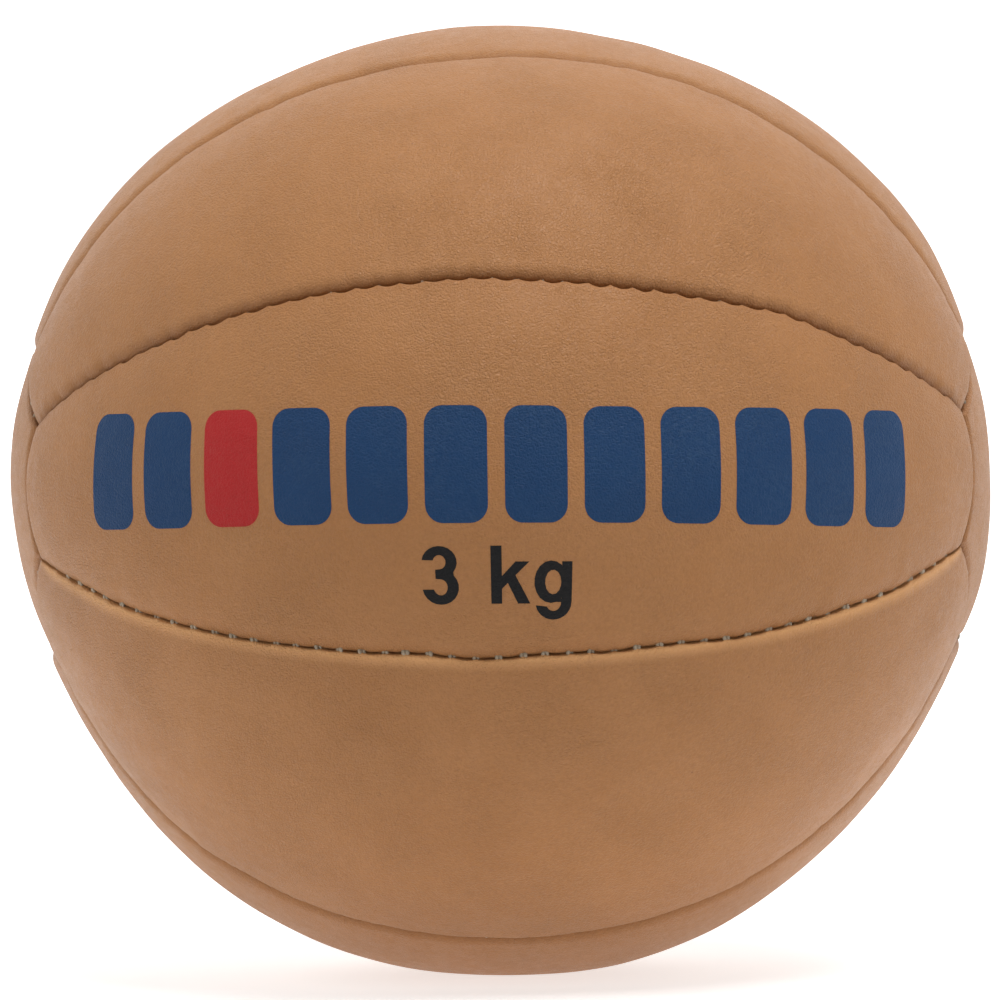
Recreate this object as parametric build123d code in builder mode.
"""A stuffed leather medicine ball, 3 kg, 250 mm across the poles, lying at rest on a flat surface.

Eight long leather gores run from pole to pole along X and are closed at each pole by an octagonal end cap.
Every panel is turned inward along its edges, and the turned edges are sewn together through awl holes. A
woven lining backs each panel. A layer of hair padding lies inside the linings, slotted for the sewn edges,
and holds a cloth bag full of textile stuffing.

Frame: X is the pole axis, +Z is up, and the front gore faces -Y. The origin is on the supporting surface,
below the centre of the ball. A longitude is an angle about X from the front (-Y), growing upward. A polar
angle is measured at the ball's centre from the pole axis.
"""

from build123d import *

import os
from math import atan, cos, degrees, radians, sin, sqrt, tan

# --- Driving dimensions, in millimetres and degrees ---------------------------------------------------------
POLE_RADIUS = 125.0  # ball centre to the outside of an end cap
GIRTH_RADIUS = 121.6  # ball centre to the crown of a gore, halfway between the poles
CONTACT_DEPTH = 1.2  # how far the ball's own weight flattens it where it rests
SEAM_DEPTH = 2.2  # how far a seam lies below the crowns of the panels beside it
SHOULDER_RADIUS = 3.0  # rounding where a panel turns into its seam
SEAM_GAP = 0.08  # degrees between a panel's turned edge and the seam's plane
CAP_CORNER_ANGLE = 20.2  # polar angle of the corners of an end cap
END_ROUNDING = 3.5  # degrees over which the end of a gore drops to the cap's seam

# The gores in order round the ball, and the longitude of the seam before each. They are cut by hand, so the
# widths differ a little.
GORES = {
    "front": -17.8,
    "upper_front": 26.9,
    "top": 67.9,
    "upper_back": 113.4,
    "back": 158.9,
    "lower_back": 204.5,
    "bottom": 250.0,
    "lower_front": 295.5,
}
# The long seams, named after the gores they join, in the same order.
SEAMS = (
    "lower_front_to_front",
    "front_to_upper_front",
    "upper_front_to_top",
    "top_to_upper_back",
    "upper_back_to_back",
    "back_to_lower_back",
    "lower_back_to_bottom",
    "bottom_to_lower_front",
)
ENDS = {"left": -1, "right": 1}  # the sign of X at each pole

LEATHER = 2.4
FLANGE_DEPTH = 9.0  # width of the edge that is turned inward and sewn
LINING = 0.8
GLUE_LINE = 0.3  # between a panel and its lining
LINING_EDGE_GAP = 0.6  # between a lining and the turned edge

THREAD_WIDTH = 1.0  # waxed thread, pulled flat against the leather
THREAD_THICKNESS = 0.7
RUNG_WIDTH = 0.8  # the thread is squeezed where it crosses the seam
AWL_HOLE = 1.3  # side of the diamond-shaped hole
THREAD_CLEARANCE = 0.15  # between a run of thread and the leather it lies on
STITCH_DEPTH = 4.6  # below the top of the seam
STITCH_PITCH = 6.0
SEAM_END_MARGIN = 3.6  # degrees between a cap's corner and the first stitch of a long seam
CAP_STITCHES = 5  # on each side of a cap
CAP_STITCH_PITCH = 5.0

PADDING_CLEARANCE = 0.5  # between the padding and the linings, seams and bag
CORE_RADIUS = 84.0
BAG_WALL = 1.0

# --- Values worked out from them ----------------------------------------------------------------------------
CENTRE_HEIGHT = GIRTH_RADIUS - CONTACT_DEPTH
CENTRE = Vector(0, 0, CENTRE_HEIGHT)
NAMES = list(GORES)
LONGITUDES = list(GORES.values())
GORE_COUNT = len(GORES)
MIDDLE_SECTIONS = 7
TURNED_EDGE = LEATHER + radians(SEAM_GAP) * POLE_RADIUS  # from a seam's plane to the inside of a turned edge
RUN_OFFSET = TURNED_EDGE + THREAD_CLEARANCE + THREAD_THICKNESS / 2  # from a seam's plane to a run of thread
PANEL_BUILD_UP = LEATHER + GLUE_LINE + LINING
TINY = 1e-6


def radius_at(polar):
    """Distance from the centre to the crown line of the ball at a polar angle."""
    angle = radians(polar)
    return 1 / sqrt((cos(angle) / POLE_RADIUS) ** 2 + (sin(angle) / GIRTH_RADIUS) ** 2)


def outward(longitude):
    """Unit vector square to the pole axis, towards a longitude."""
    angle = radians(longitude)
    return Vector(0, -cos(angle), sin(angle))


def across(longitude):
    """Unit vector along the girth, towards growing longitude."""
    angle = radians(longitude)
    return Vector(0, sin(angle), cos(angle))


def radial_plane(longitude, polar):
    """Plane through the ball's centre, x along the girth and y along the radius at a polar angle."""
    angle = radians(polar)
    normal = outward(longitude) * cos(angle) + Vector(sin(angle), 0, 0)
    return Plane(origin=CENTRE, x_dir=across(longitude), z_dir=normal)


def seams_beside(index):
    """Longitudes of the two long seams of a gore."""
    return LONGITUDES[index], LONGITUDES[(index + 1) % GORE_COUNT]


def gore_facts(index):
    """Middle longitude, half width and first polar angle of a gore."""
    before, after = seams_beside(index)
    half_width = ((after - before) % 360) / 2
    first = degrees(atan(tan(radians(CAP_CORNER_ANGLE)) * cos(radians(half_width))))
    return before + half_width, half_width, first


def section_facts(half_width, polar):
    """In a radial plane: a gore's edge angle, and how much longer a length square to its seam measures."""
    half = radians(half_width)
    edge = atan(tan(radians(half_width - SEAM_GAP)) * sin(radians(polar)))
    square = cos(edge) * cos(half) + sin(edge) * sin(half) * sin(radians(polar))
    return edge, 1 / square


def gore_stations(first):
    """Polar angle and crown radius of each section of a gore, from one end to the other."""
    ends = [first + SEAM_GAP, 180 - first - SEAM_GAP]
    low = first + END_ROUNDING
    step = (180 - 2 * low) / (MIDDLE_SECTIONS - 1)
    middle = [(low + step * n, radius_at(low + step * n)) for n in range(MIDDLE_SECTIONS)]
    dropped = [(polar, radius_at(polar) - SEAM_DEPTH + TINY) for polar in ends]
    return [dropped[0], *middle, dropped[1]]


def on_edge(distance, edge, inward):
    """Point in a radial plane, on the line of a gore's edge, shifted square to it towards the middle."""
    return distance * sin(edge) - inward * cos(edge), distance * cos(edge) + inward * sin(edge)


def mirrored(point):
    return -point[0], point[1]


def arch(point, crown):
    """Arc from a point over the crown to the point's mirror image."""
    return ThreePointArc(mirrored(point), (0, crown), point)


def stitch_arc(longitude):
    """The arc on which a long seam's stitches lie, in the seam's plane: its centre, radius and half angle."""
    top = GIRTH_RADIUS - SEAM_DEPTH - STITCH_DEPTH
    polar = CAP_CORNER_ANGLE + SEAM_END_MARGIN
    end = radius_at(polar) - SEAM_DEPTH - STITCH_DEPTH
    reach = end * cos(radians(polar))
    rise = top - end * sin(radians(polar))
    radius = (reach**2 + rise**2) / (2 * rise)
    return CENTRE + outward(longitude) * (top - radius), radius, degrees(2 * atan(rise / reach))


def long_seam_stitches(longitude):
    """Planes at the stitches of a long seam, x outward and each normal square to the seam."""
    centre, radius, half_angle = stitch_arc(longitude)
    count = round(radians(2 * half_angle) * radius / STITCH_PITCH) + 1
    planes = []
    for n in range(count):
        angle = radians(half_angle * (2 * n / (count - 1) - 1))
        spoke = outward(longitude) * cos(angle) + Vector(sin(angle), 0, 0)
        planes.append(Plane(origin=centre + spoke * radius, x_dir=spoke, z_dir=across(longitude)))
    return planes


def cap_stitches(index, sign):
    """Planes at the stitches between a gore's end and a cap, each normal square to the cap's side."""
    middle, _, first = gore_facts(index)
    section = radial_plane(middle, first if sign < 0 else 180 - first)
    distance = radius_at(first) - SEAM_DEPTH - STITCH_DEPTH
    planes = []
    for n in range(CAP_STITCHES):
        along = CAP_STITCH_PITCH * (n - (CAP_STITCHES - 1) / 2)
        origin = section.from_local_coords(Vector(along, distance, 0))
        planes.append(Plane(origin=origin, x_dir=section.x_dir, z_dir=section.z_dir))
    return planes


def cap_dome():
    """Centre distance and radius of the sphere on which the outside of an end cap lies."""
    rim = radius_at(CAP_CORNER_ANGLE) - SEAM_DEPTH
    height = POLE_RADIUS - rim * cos(radians(CAP_CORNER_ANGLE))
    radius = (height**2 + (rim * sin(radians(CAP_CORNER_ANGLE))) ** 2) / (2 * height)
    return POLE_RADIUS - radius, radius


# --- Gores and their linings --------------------------------------------------------------------------------
def gore_panel(index):
    """A pillowed leather strip whose long edges and ends are turned inward, with its awl holes."""
    middle, half_width, first = gore_facts(index)
    with BuildPart() as gore:
        for polar, crown in gore_stations(first):
            edge, stretch = section_facts(half_width, polar)
            top = radius_at(polar) - SEAM_DEPTH
            outer = on_edge(top, edge, 0)
            foot = on_edge(top - FLANGE_DEPTH, edge, 0)
            inner_foot = on_edge(top - FLANGE_DEPTH, edge, LEATHER * stretch)
            inner = on_edge(top - LEATHER, edge, LEATHER * stretch)
            with BuildSketch(radial_plane(middle, polar)) as section:
                with BuildLine():
                    arch(outer, crown)
                    Polyline(outer, foot, inner_foot, inner)
                    arch(inner, crown - LEATHER)
                    Polyline(mirrored(inner), mirrored(inner_foot), mirrored(foot), mirrored(outer))
                make_face()
                shoulders = section.vertices().filter_by(lambda v: abs(v.Y - outer[1]) < TINY)
                fillet(shoulders, SHOULDER_RADIUS)
        loft()
        for polar, inward in ((first + SEAM_GAP, LEATHER), (180 - first - SEAM_GAP, -LEATHER)):
            edge, stretch = section_facts(half_width, polar)
            middle_of_skin = radius_at(polar) - SEAM_DEPTH - LEATHER / 2
            high = on_edge(middle_of_skin, edge, LEATHER * stretch / 2)
            low = on_edge(middle_of_skin + LEATHER / 2 - FLANGE_DEPTH, edge, LEATHER * stretch / 2)
            with BuildSketch(radial_plane(middle, polar)):
                with BuildLine():
                    arch(high, middle_of_skin)
                    Polyline(high, low, mirrored(low), mirrored(high))
                make_face()
            extrude(amount=inward)
        stitches = cap_stitches(index, -1) + cap_stitches(index, 1)
        for longitude in seams_beside(index):
            stitches += long_seam_stitches(longitude)
        with Locations(*stitches):
            Box(AWL_HOLE, AWL_HOLE, 4 * LEATHER, rotation=(0, 0, 45), mode=Mode.SUBTRACT)
        if NAMES[index] == "bottom":
            split(bisect_by=Plane.XY, keep=Keep.TOP)
    return gore


def gore_lining(index):
    """A strip of cloth under a gore, between its turned edges."""
    middle, half_width, first = gore_facts(index)
    with BuildPart() as lining:
        for polar, crown in gore_stations(first)[1:-1]:
            edge, stretch = section_facts(half_width, polar)
            inward = (LEATHER + LINING_EDGE_GAP) * stretch
            top = radius_at(polar) - SEAM_DEPTH - LEATHER - GLUE_LINE
            outer = on_edge(top, edge, inward)
            inner = on_edge(top - LINING, edge, inward)
            with BuildSketch(radial_plane(middle, polar)):
                with BuildLine():
                    arch(outer, crown - LEATHER - GLUE_LINE)
                    Line(outer, inner)
                    arch(inner, crown - PANEL_BUILD_UP)
                    Line(mirrored(inner), mirrored(outer))
                make_face()
        loft()
    return lining


# --- End caps and their linings -----------------------------------------------------------------------------
def dome_layer(sign, depth, thickness, inset):
    """A layer of an end cap, its top a depth below the dome, trimmed to the eight sides less an inset."""
    centre, radius = cap_dome()
    with BuildPart() as layer:
        with BuildSketch(Plane.XY.offset(CENTRE_HEIGHT)):
            with Locations((sign * centre, 0)):
                Circle(radius - depth)
                Circle(radius - depth - thickness, mode=Mode.SUBTRACT)
            with Locations((-sign * POLE_RADIUS * (1 - cos(radians(2 * CAP_CORNER_ANGLE))), 0)):
                Rectangle(2 * POLE_RADIUS, 3 * POLE_RADIUS, mode=Mode.SUBTRACT)
            with Locations((0, -POLE_RADIUS)):
                Rectangle(3 * POLE_RADIUS, 2 * POLE_RADIUS, mode=Mode.SUBTRACT)
        revolve(axis=Axis(CENTRE, (1, 0, 0)))
        for index in range(GORE_COUNT):
            middle, _, first = gore_facts(index)
            side = radial_plane(middle, first if sign < 0 else 180 - first)
            cut = side.offset(sign * inset)
            split(bisect_by=cut, keep=Keep.TOP if sign > 0 else Keep.BOTTOM)
    return layer


def end_cap(sign):
    """An octagonal leather cap whose sides are turned inward, with its awl holes."""
    hollow = dome_layer(sign, LEATHER, FLANGE_DEPTH, TURNED_EDGE)
    cap = dome_layer(sign, 0, FLANGE_DEPTH, TURNED_EDGE - LEATHER)
    with cap:
        beyond_pole = (sign * 2 * POLE_RADIUS, 0, CENTRE_HEIGHT)
        rim = cap.edges().filter_by(GeomType.CIRCLE).sort_by_distance(beyond_pole)
        fillet(rim[:GORE_COUNT], SHOULDER_RADIUS / 2)
        add(hollow.part, mode=Mode.SUBTRACT)
        for index in range(GORE_COUNT):
            with Locations(*cap_stitches(index, sign)):
                Box(AWL_HOLE, AWL_HOLE, 4 * LEATHER, rotation=(0, 0, 45), mode=Mode.SUBTRACT)
    return cap


def cap_lining(sign):
    """An octagon of cloth under an end cap, inside its turned sides."""
    return dome_layer(sign, LEATHER + GLUE_LINE, LINING, TURNED_EDGE + LINING_EDGE_GAP)


# --- Thread -------------------------------------------------------------------------------------------------
def seam_thread(longitude):
    """The sewing of a long seam: a run of thread on each side, and a rung through each pair of awl holes."""
    centre, radius, half_angle = stitch_arc(longitude)
    with BuildPart() as thread:
        for offset in (-RUN_OFFSET, RUN_OFFSET):
            origin = centre + across(longitude) * offset
            with BuildSketch(Plane(origin=origin, x_dir=outward(longitude), z_dir=across(longitude))):
                with BuildLine():
                    CenterArc((0, 0), radius, -half_angle, 2 * half_angle)
                trace(line_width=THREAD_WIDTH)
            extrude(amount=THREAD_THICKNESS / 2, both=True)
        with Locations(*long_seam_stitches(longitude)):
            Box(RUNG_WIDTH, RUNG_WIDTH, 2 * RUN_OFFSET)
    return thread


def cap_seam_thread(sign):
    """The sewing round an end cap: a run inside the cap, one inside each gore's end, and the rungs."""
    stitches = []
    gore_runs = []
    cap_run = []
    for index in range(GORE_COUNT):
        side = cap_stitches(index, sign)
        stitches += side
        gore_runs.append([side[n].origin - side[n].z_dir * sign * RUN_OFFSET for n in (0, -1)])
        cap_run += [side[n].origin + side[n].z_dir * sign * RUN_OFFSET for n in (0, -1)]
    with BuildPart() as thread:
        for start, end in [*gore_runs, *zip(cap_run, cap_run[1:] + cap_run[:1])]:
            outward_here = (start + end) / 2 - CENTRE
            with Locations(Plane(origin=(start + end) / 2, x_dir=outward_here, z_dir=end - start)):
                Box(THREAD_WIDTH, THREAD_THICKNESS, (end - start).length + THREAD_THICKNESS)
        with Locations(*stitches):
            Box(RUNG_WIDTH, RUNG_WIDTH, 2 * RUN_OFFSET)
    return thread


# --- Filling ------------------------------------------------------------------------------------------------
def padding_half(sign):
    """Half of the padding, between the bag and the linings, with room for the turned and sewn edges."""
    skin = SEAM_DEPTH + PANEL_BUILD_UP + PADDING_CLEARANCE
    slot_width = 2 * (RUN_OFFSET + THREAD_THICKNESS / 2 + PADDING_CLEARANCE)
    slot_floor = GIRTH_RADIUS - SEAM_DEPTH - FLANGE_DEPTH - PADDING_CLEARANCE
    cap_slot = degrees(slot_width / 2 / slot_floor)
    cap_slot_start = min(gore_facts(index)[2] for index in range(GORE_COUNT)) - cap_slot
    with BuildPart() as padding:
        with BuildSketch(Plane.XY.offset(CENTRE_HEIGHT)):
            Ellipse(POLE_RADIUS - skin, GIRTH_RADIUS - skin)
            Circle(CORE_RADIUS + PADDING_CLEARANCE, mode=Mode.SUBTRACT)
            with Locations((0, -POLE_RADIUS)):
                Rectangle(3 * POLE_RADIUS, 2 * POLE_RADIUS, mode=Mode.SUBTRACT)
            with Locations((-sign * (POLE_RADIUS - PADDING_CLEARANCE / 2), 0)):
                Rectangle(2 * POLE_RADIUS, 3 * POLE_RADIUS, mode=Mode.SUBTRACT)
        revolve(axis=Axis(CENTRE, (1, 0, 0)))
        for longitude in LONGITUDES:
            with BuildSketch(Plane(origin=CENTRE, x_dir=outward(longitude), z_dir=across(longitude))):
                Circle(POLE_RADIUS)
                Ellipse(slot_floor, slot_floor + POLE_RADIUS - GIRTH_RADIUS, mode=Mode.SUBTRACT)
                with Locations((-POLE_RADIUS, 0)):
                    Rectangle(2 * POLE_RADIUS, 3 * POLE_RADIUS, mode=Mode.SUBTRACT)
            extrude(amount=slot_width / 2, both=True, mode=Mode.SUBTRACT)
        with BuildSketch(Plane.XY.offset(CENTRE_HEIGHT)):
            near, far = (
                Vector(sign * cos(radians(polar)), sin(radians(polar)))
                for polar in (cap_slot_start, CAP_CORNER_ANGLE + cap_slot)
            )
            with BuildLine():
                corners = near * slot_floor, near * POLE_RADIUS, far * POLE_RADIUS, far * slot_floor
                Polyline(*corners, close=True)
            make_face()
        revolve(axis=Axis(CENTRE, (1, 0, 0)), mode=Mode.SUBTRACT)
    return padding


def inner_bag():
    """The cloth bag round the stuffing."""
    with BuildPart() as bag:
        with Locations(CENTRE):
            Sphere(CORE_RADIUS)
            Sphere(CORE_RADIUS - BAG_WALL, mode=Mode.SUBTRACT)
    return bag


def stuffing():
    """The packed textile that gives the ball its weight."""
    with BuildPart() as core:
        with Locations(CENTRE):
            Sphere(CORE_RADIUS - BAG_WALL)
    return core


def save(name, piece):
    piece.part.label = name
    export_step(piece.part, f"parts/{name}.step")


os.makedirs("parts", exist_ok=True)

for index, name in enumerate(NAMES):
    save(f"gore_panel_{name}", gore_panel(index))
    save(f"gore_lining_{name}", gore_lining(index))

for name, longitude in zip(SEAMS, LONGITUDES):
    save(f"seam_thread_{name}", seam_thread(longitude))

for name, sign in ENDS.items():
    save(f"end_cap_{name}", end_cap(sign))
    save(f"cap_lining_{name}", cap_lining(sign))
    save(f"cap_seam_thread_{name}", cap_seam_thread(sign))
    save(f"padding_{name}", padding_half(sign))

save("inner_bag", inner_bag())
save("stuffing", stuffing())
